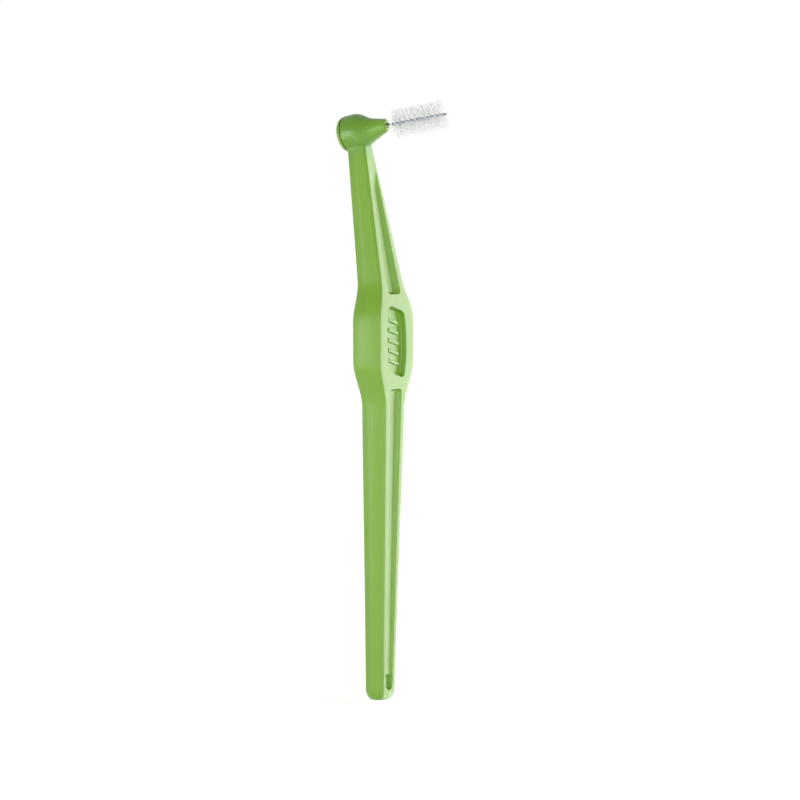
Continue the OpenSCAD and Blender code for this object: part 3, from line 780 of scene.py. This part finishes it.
def studio_paper(name, tint):
    """White background paper, matt: it stays white to the camera and still takes a faint shadow."""
    material, tree = new_material(name)
    seen, mirrored = background_rays(tree)
    paper = add_node(tree, "BsdfDiffuse", {"Color": rgba(tint, share=0.8)})
    # Its glow is weaker close to the foot, where the lamps light it more, so that the shadow shows
    place = add_node(tree, "TexCoord").outputs["Object"]
    far = add_node(tree, "VectorMath", {"operation": "LENGTH"}, {"Vector": place})
    strength = add_node(
        tree,
        "MapRange",
        {"From Min": 30 * MM, "From Max": 160 * MM, "To Min": 0.76, "To Max": 0.935},
        {"Value": far.outputs["Value"]},
    )
    shown = add_node(tree, "Math", {"operation": "MULTIPLY"}, {0: seen, 1: strength.outputs["Result"]})
    glow = add_node(tree, "Emission", {"Color": rgba(tint)}, {"Strength": shown.outputs["Value"]})
    # A sheen that only reflections see: the sheet mirrors the lamps into the foot of the handle
    unseen = add_node(tree, "Math", {"operation": "MULTIPLY", 1: 0.85}, {0: mirrored})
    sheen = add_node(tree, "BsdfGlossy", {"Roughness": 0.12}, {"Color": unseen.outputs["Value"]})
    lit = add_node(tree, "AddShader", links={0: paper.outputs["BSDF"], 1: glow.outputs["Emission"]})
    sheet = add_node(tree, "AddShader", links={0: lit.outputs["Shader"], 1: sheen.outputs["BSDF"]})
    add_node(tree, "OutputMaterial", links={"Surface": sheet.outputs["Shader"]})
    return material


def forms(context):
    """The handle's and the head's forms, worked out from the scene's sizes."""
    s = context.scene
    handle = HandleForm(s.brush_handle, s.brush_channels)
    return handle, HeadForm(s.brush_head, s.brush_brush, handle)


def neck_top_rings(form, head):
    """Rings of the neck's last stretch: up to the fillet, round it on to the head, and just inside."""
    fillet = form.h.head_fillet
    sunk = 0.02 * MM
    inside = 0.6 * MM
    starts = []
    for column in form.columns:
        z = form.head_z - head.h.radius - fillet
        # The column slants, so its height on the fillet's edge is found in a few steps
        for _ in range(FILLET_TRIES):
            s, t, n = head.local(form.point(column, z))
            reach = head.radius(s) + fillet
            z += -math.sqrt(reach * reach - t * t) - n
        starts.append(head.local(form.point(column, z)))
    rings = []
    for a in arc(FILLET_STEPS):
        out = fillet * (1 - math.cos(a))
        gap = fillet * (1 - math.sin(a)) - sunk * math.sin(a)
        rings.append(fillet_ring(form, head, starts, out, gap))
    rings.append(fillet_ring(form, head, starts, fillet, -inside))
    return rings


def fillet_ring(form, head, starts, out, gap):
    """A ring that stands out from the neck and keeps a gap to the head's surface."""
    ring = []
    for (kind, share, face, side), (s, t, _) in zip(form.columns, starts):
        a = math.radians(share) if kind == "corner" else math.atan2(side if kind == "crown" else 0, face)
        s_new = max(s + out * math.cos(a), min(s, head.h.seam_chamfer))
        t_new = t + out * math.sin(a)
        reach = head.radius(s_new) + gap
        ring.append(head.world(s_new, t_new, -math.sqrt(reach * reach - t_new * t_new)))
    return ring


def fill_chin(bm, head):
    """Fills the underside between the head and the nozzle's end to the straight line of the real one."""
    h = head.h
    end_radius = head.radius(h.chin_end)
    for v in bm.verts:
        s, t, n = head.local(v.co)
        r = math.hypot(t, n)
        if h.shoulder_start < s < h.chin_end and r > h.nozzle_tip_radius:
            share = clamp((s - h.chin_start) / (h.chin_end - h.chin_start), 0, 1)
            under = smooth((1 - n / r) / 2) * max(mix(h.radius, end_radius, share) - r, 0)
            v.co = head.world(s, t * (1 + under / r), n * (1 + under / r))


def rounded_edge(radius, end, rounding, steps):
    """(r, s) points of a rounded outer edge. The rounding is negative towards a lower end."""
    size = abs(rounding)
    return [(radius - size * (1 - math.cos(a)), end - rounding * (1 - math.sin(a))) for a in arc(steps)]


def head_body(head):
    """The head and its nozzle, turned as one ring with the bore and the pocket inside."""
    h = head.h
    groove = h.radius - h.seam_depth
    profile = [(head.bore, h.pocket_depth), (h.pocket_radius, h.pocket_depth), (h.pocket_radius, 0)]
    profile += [(groove, 0), (groove, h.seam_floor), (h.radius, h.seam_chamfer)]
    for k in range(SHOULDER_STEPS + 1):
        s = h.shoulder_start + h.shoulder_run * k / SHOULDER_STEPS
        profile.append((head.radius(s), s))
    tip_ring = head.radius(h.length - h.nozzle_round)
    profile += rounded_edge(tip_ring, h.length, h.nozzle_round, NOZZLE_EDGE_STEPS)
    edge = 0.03 * MM
    profile += [(h.mouth_radius + edge, h.length), (h.mouth_radius, h.length - edge)]
    profile += [(h.mouth_radius, h.length - h.mouth_depth), (head.bore, h.length - h.mouth_depth)]
    bm = revolve(profile, head)
    fill_chin(bm, head)
    return bm


def grip_rib(form, k):
    """One raised grip rib: a bar with round ends and a softened top, sunk in the recess's floor."""
    c = form.c
    root = c.rib_height
    top = (c.rib_height + root) / 2
    # Just short of half the width, so that the two bevels of an end don't meet
    end_round = 0.98 * c.rib_width / 2
    round_off = {"profile": 0.5, "affect": "EDGES", "material": -1}
    bm = bmesh.new()
    bmesh.ops.create_cube(bm, size=1)
    bmesh.ops.scale(bm, vec=(c.rib_height + root, c.rib_length, c.rib_width), verts=bm.verts)
    upright = [e for e in bm.edges if abs((e.verts[0].co - e.verts[1].co).x) > root]
    bmesh.ops.bevel(bm, geom=upright, offset=end_round, segments=RIB_END_STEPS, **round_off)
    rim = [e for e in bm.edges if all(v.co.x > top - SAME_POINT for v in e.verts)]
    bmesh.ops.bevel(bm, geom=rim, offset=c.rib_edge, segments=RIB_EDGE_STEPS, **round_off)
    z = form.pad_mid_z + (k - (c.rib_count - 1) / 2) * c.rib_pitch
    floor = form.centre(z) + form.thickness(z) / 2 - c.recess_depth
    bmesh.ops.rotate(bm, matrix=Matrix.Rotation(-c.recess_slant, 3, "X"), verts=bm.verts)
    bmesh.ops.translate(bm, vec=(floor + c.rib_height - top, 0, z), verts=bm.verts)
    return bm


def unite(obj, others):
    """Joins other closed objects to obj as one closed skin, and removes them."""
    for other in others:
        modifier = obj.modifiers.new("Union", "BOOLEAN")
        modifier.operation = "UNION"
        modifier.solver = "EXACT"
        modifier.object = other
    bpy.context.view_layer.update()
    evaluated = obj.evaluated_get(bpy.context.evaluated_depsgraph_get())
    mesh = bpy.data.meshes.new_from_object(evaluated)
    obj.modifiers.clear()
    obj.data = mesh
    for other in others:
        bpy.data.objects.remove(other)


class BRUSH_OT_handle(Operator):
    """Models the moulded handle: shaft, grip pad, neck and head in one skin"""

    bl_idname = "brush.handle"
    bl_label = "Handle"

    def execute(self, context):
        form, head = forms(context)
        finish = context.scene.brush_finish
        greens = (finish.plastic, finish.plastic_pale, finish.plastic_head_shade)
        plastic = moulded_polypropylene("Moulded polypropylene", *greens, head.middle)
        tops = neck_top_rings(form, head)
        heights = form.heights(tops[0][0].z - MM)
        rings = [[form.point(column, z) for column in form.columns] for z in heights]
        hub = sum(tops[-1], Vector()) / len(tops[-1])
        handle = finish_mesh(skin(rings + tops, Vector(), hub), "handle_moulding", plastic)
        extras = [finish_mesh(head_body(head), "head", plastic)]
        extras += [finish_mesh(grip_rib(form, k), "rib", plastic) for k in range(form.c.rib_count)]
        unite(handle, extras)
        handle.data.set_sharp_from_angle(angle=math.radians(MOULDED_SHARP))
        dress(handle, "handle_plastic", "handle")
        return {"FINISHED"}


class BRUSH_OT_rear_cap(Operator):
    """Turns the cap that closes the head's pocket"""

    bl_idname = "brush.rear_cap"
    bl_label = "Rear cap"

    def execute(self, context):
        _, head = forms(context)
        h = head.h
        green = context.scene.brush_finish.cap
        plastic = moulded_polypropylene("Moulded polypropylene, cap", green, green)
        outer = h.pocket_radius - h.spigot_gap
        inner = outer - h.spigot_wall
        profile = [(0, 0), (inner, 0), (inner, h.spigot_length), (outer, h.spigot_length), (outer, 0)]
        groove = h.cap_radius - h.seam_depth
        profile += [(groove, 0), (groove, -h.seam_floor), (h.cap_radius, -h.seam_chamfer)]
        profile += rounded_edge(h.cap_radius, -h.cap_thickness, -h.cap_round, CAP_EDGE_STEPS)
        profile += [(0, -h.cap_thickness)]
        cap = finish_mesh(revolve(profile, head), "rear_cap_moulding", plastic, MOULDED_SHARP)
        dress(cap, "cap_plastic", "rear_cap")
        return {"FINISHED"}


def leg_points(head):
    """One leg's line, from its anchored end to the fold: (r, s, angle) triples."""
    b = head.b
    bend, offset = b.anchor_bend, head.leg_offset
    anchor = head.h.pocket_depth - head.leg_radius - b.layer_gap
    start = anchor + bend
    fold = head.tip - offset - head.leg_radius
    first = head.twist(start)
    points = [(b.anchor_reach, anchor, first)]
    for a in arc(ANCHOR_STEPS)[:-1]:
        points.append((offset + bend * (1 - math.sin(a)), anchor + bend * (1 - math.cos(a)), first))
    steps = math.ceil((fold - start) / b.twist_pitch * TWIST_STEPS)
    for k in range(steps + 1):
        s = mix(start, fold, k / steps)
        points.append((offset, s, head.twist(s)))
    return points


def wire_line(head):
    """The folded wire's centre line, with the direction across the pair at each point."""

    def on_pair(r, s, a):
        return head.turned(s, r, a) + head.dip(s)

    def across(a):
        return head.across * math.cos(a) + head.up * math.sin(a)

    leg = leg_points(head)
    _, fold, last = leg[-1]
    line = [(on_pair(r, s, a), across(a)) for r, s, a in leg]
    line += [
        (on_pair(head.leg_offset * math.cos(a), fold + head.leg_offset * math.sin(a), last), across(last))
        for a in arc(FOLD_STEPS, 0, 180)[1:-1]
    ]
    line += [(on_pair(-r, s, a), across(a)) for r, s, a in reversed(leg)]
    return line


def tube_rings(line, radius, sides):
    """Rings of a round tube along a line of (point, direction across)."""
    rings = []
    for i, (point, side) in enumerate(line):
        way = (line[min(i + 1, len(line) - 1)][0] - line[max(i - 1, 0)][0]).normalized()
        n = (side - way * side.dot(way)).normalized()
        b = way.cross(n)
        turn = [2 * math.pi * k / sides for k in range(sides)]
        rings.append([point + radius * (math.cos(a) * n + math.sin(a) * b) for a in turn])
    return rings


class BRUSH_OT_wire_core(Operator):
    """Sweeps the folded steel wire, twisted on itself from the nozzle to the tip"""

    bl_idname = "brush.wire_core"
    bl_label = "Wire core"

    def execute(self, context):
        _, head = forms(context)
        steel = drawn_steel("Drawn stainless steel", context.scene.brush_finish.steel, head)
        line = wire_line(head)
        rings = tube_rings(line, head.leg_radius, WIRE_SIDES)
        wire = finish_mesh(skin(rings, line[0][0], line[-1][0]), "twisted_wire", steel, WIRE_SHARP)
        dress(wire, "wire_steel", "wire_core")
        return {"FINISHED"}


def strand_template():
    """A strand of unit length and unit half thickness along X, with four sides and closed ends."""
    bm = bmesh.new()
    corners = [Vector((0, y, z)) for y, z in ((1, 1), (-1, 1), (-1, -1), (1, -1))]
    edges, column = start_ring(bm, corners)
    bmesh.ops.contextual_create(bm, geom=edges)
    for k in range(1, STRAND_STEPS + 1):
        step = Vector((k / STRAND_STEPS, 0, 0))
        edges = extrude_ring(bm, edges, [corner + step for corner in corners], column)
    bmesh.ops.contextual_create(bm, geom=edges)
    bmesh.ops.recalc_face_normals(bm, faces=bm.faces)
    mesh = bpy.data.meshes.new("strand")
    bm.to_mesh(mesh)
    bm.free()
    return mesh


def place_strand(head, verts, s, a, reach, lean, bow, half):
    """Bends a strand's vertices along its own line, out from the wire at s and angle a."""
    for v in verts:
        u, y, z = v.co
        out = mix(head.leg_radius, reach, u)
        ahead = lean * u * u + z * half
        aside = bow * u * u + y * half
        radial = head.across * math.sin(a) - head.up * math.cos(a)
        tangent = head.across * math.cos(a) + head.up * math.sin(a)
        v.co = head.seat + head.axis * (s + ahead) + radial * out + tangent * aside + head.dip(s + ahead)


def bristle_turn(head, turn, template):
    """The strands of one turn of the wire: each filament gives two, on opposite sides."""
    b = head.b
    draw = random.Random(FIRST_SEED + turn)
    bm = bmesh.new()
    for i in range(b.filaments):
        s = head.brush_start + (turn + i / b.filaments) * b.twist_pitch
        a = head.twist(s) + math.pi / 2
        for side in (0, math.pi):
            first = len(bm.verts)
            bm.from_mesh(template)
            bm.verts.ensure_lookup_table()
            spread = draw.gauss(0, SPREAD)
            reach = b.diameter / 2 * (1 - abs(draw.gauss(0, REACH_SPREAD)))
            lean = b.lean * (1 + draw.gauss(0, LEAN_SPREAD))
            bow = draw.gauss(0, BOW)
            place_strand(head, bm.verts[first:], s, a + side + spread, reach, lean, bow, b.filament / 2)
    return bm


class BRUSH_OT_bristles(Operator):
    """Grows the nylon strands out of the twist, one piece for each turn of the wire"""

    bl_idname = "brush.bristles"
    bl_label = "Bristles"

    def execute(self, context):
        _, head = forms(context)
        nylon = nylon_filament("Nylon filament", context.scene.brush_finish.nylon)
        template = strand_template()
        for turn in range(TURNS):
            name = f"bristle_strands_{turn + 1}"
            strands = finish_mesh(bristle_turn(head, turn, template), name, nylon)
            dress(strands, "bristle_nylon", f"bristle_turn_{turn + 1}")
        bpy.data.meshes.remove(template)
        return {"FINISHED"}


def direction(azimuth, elevation):
    """The way from the brush to a place at that azimuth and elevation, in radians."""
    level = math.cos(elevation)
    return Vector((math.sin(azimuth) * level, -math.cos(azimuth) * level, math.sin(elevation)))


def place_at(obj, aim, way, distance):
    """Links an object at a distance from the aim, looking back at it."""
    obj.location = aim + way * distance
    obj.rotation_mode = "QUATERNION"
    obj.rotation_quaternion = way.to_track_quat("Z", "Y")
    bpy.context.scene.collection.objects.link(obj)


def studio_world(context):
    """Even white light from the sides, weaker from above, and pure white to the camera."""
    world = bpy.data.worlds.new("Studio")
    world.use_nodes = True
    tree = world.node_tree
    tree.nodes.clear()
    way = add_node(tree, "TexCoord").outputs["Generated"]
    height = add_node(tree, "SeparateXYZ", links={"Vector": way}).outputs["Z"]
    dimming = {"From Min": 0.0, "From Max": 0.44, "To Min": 1.98, "To Max": 0.05}
    dim = add_node(tree, "MapRange", dimming, {"Value": height})
    # The room is brightest behind the camera, where its white wall is
    facing = add_node(tree, "VectorMath", {"operation": "DOT_PRODUCT", 1: (0.64, -0.77, 0)}, {0: way})
    turning = {"From Min": -1.0, "From Max": 1.0, "To Min": 0.1, "To Max": 0.9}
    wall = add_node(tree, "MapRange", turning, {"Value": facing.outputs["Value"]})
    both = {0: dim.outputs["Result"], 1: wall.outputs["Result"]}
    strength = add_node(tree, "Math", {"operation": "MULTIPLY"}, both).outputs["Value"]
    white = {"Color": (1, 1, 1, 1)}
    soft = add_node(tree, "Background", white, {"Strength": strength}).outputs["Background"]
    plain = add_node(tree, "Background", {**white, "Strength": 1.0}).outputs["Background"]
    seen, _ = background_rays(tree)
    shown = add_node(tree, "MixShader", links={"Fac": seen, 1: soft, 2: plain})
    add_node(tree, "OutputWorld", links={"Surface": shown.outputs["Shader"]})
    context.scene.world = world


class BRUSH_OT_stage(Operator):
    """Sets up the floor, the lamps, the white surroundings and the camera"""

    bl_idname = "brush.stage"
    bl_label = "Stage"

    def execute(self, context):
        s = context.scene.brush_studio
        bm = bmesh.new()
        bmesh.ops.create_grid(bm, x_segments=1, y_segments=1, size=FLOOR_HALF)
        paper = studio_paper("Studio paper", context.scene.brush_finish.backdrop)
        floor = finish_mesh(bm, "floor", paper)
        right = Vector((math.cos(s.azimuth), math.sin(s.azimuth), 0))
        aim = right * s.aim_side + Vector((0, 0, s.aim_height))
        for name, azimuth, elevation, share, width, height, watts in LAMPS:
            data = bpy.data.lights.new(name, "AREA")
            data.shape = "RECTANGLE"
            data.size, data.size_y = width, height
            data.energy = watts
            way = direction(math.radians(azimuth), math.radians(elevation))
            place_at(bpy.data.objects.new(name, data), aim, way, s.lamp_distance * share)
        data = bpy.data.cameras.new("Camera")
        data.lens = s.lens
        data.clip_start, data.clip_end = CLIP_START, CLIP_END
        camera = bpy.data.objects.new("Camera", data)
        place_at(camera, aim, direction(s.azimuth, s.elevation), s.distance)
        context.scene.camera = camera
        studio_world(context)
        context.scene.view_settings.view_transform = "Standard"
        return {"FINISHED"}


OPERATORS = (BRUSH_OT_handle, BRUSH_OT_rear_cap, BRUSH_OT_wire_core, BRUSH_OT_bristles, BRUSH_OT_stage)


class BRUSH_PT_panel(Panel):
    """Lists the pieces of the brush"""

    bl_label = "Interdental brush"
    bl_idname = "BRUSH_PT_panel"
    bl_space_type = "VIEW_3D"
    bl_region_type = "UI"
    bl_category = "Brush"

    def draw(self, context):
        for operator in OPERATORS:
            self.layout.operator(operator.bl_idname)


GROUPS = {
    "brush_handle": HandleSizes,
    "brush_channels": ChannelSizes,
    "brush_head": HeadSizes,
    "brush_brush": BrushSizes,
    "brush_finish": Finish,
    "brush_studio": StudioSizes,
}


def register():
    """Registers the sizes, the operators and the panel."""
    for group in GROUPS.values():
        bpy.utils.register_class(group)
    for name, group in GROUPS.items():
        setattr(bpy.types.Scene, name, PointerProperty(type=group))
    for cls in (*OPERATORS, BRUSH_PT_panel):
        bpy.utils.register_class(cls)


def unregister():
    """Removes what register added."""
    for cls in reversed((*OPERATORS, BRUSH_PT_panel)):
        bpy.utils.unregister_class(cls)
    for name in GROUPS:
        delattr(bpy.types.Scene, name)
    for group in reversed(list(GROUPS.values())):
        bpy.utils.unregister_class(group)


def main():
    register()
    bpy.ops.brush.stage()
    bpy.ops.brush.handle()
    bpy.ops.brush.rear_cap()
    bpy.ops.brush.wire_core()
    bpy.ops.brush.bristles()


if __name__ == "__main__":
    main()
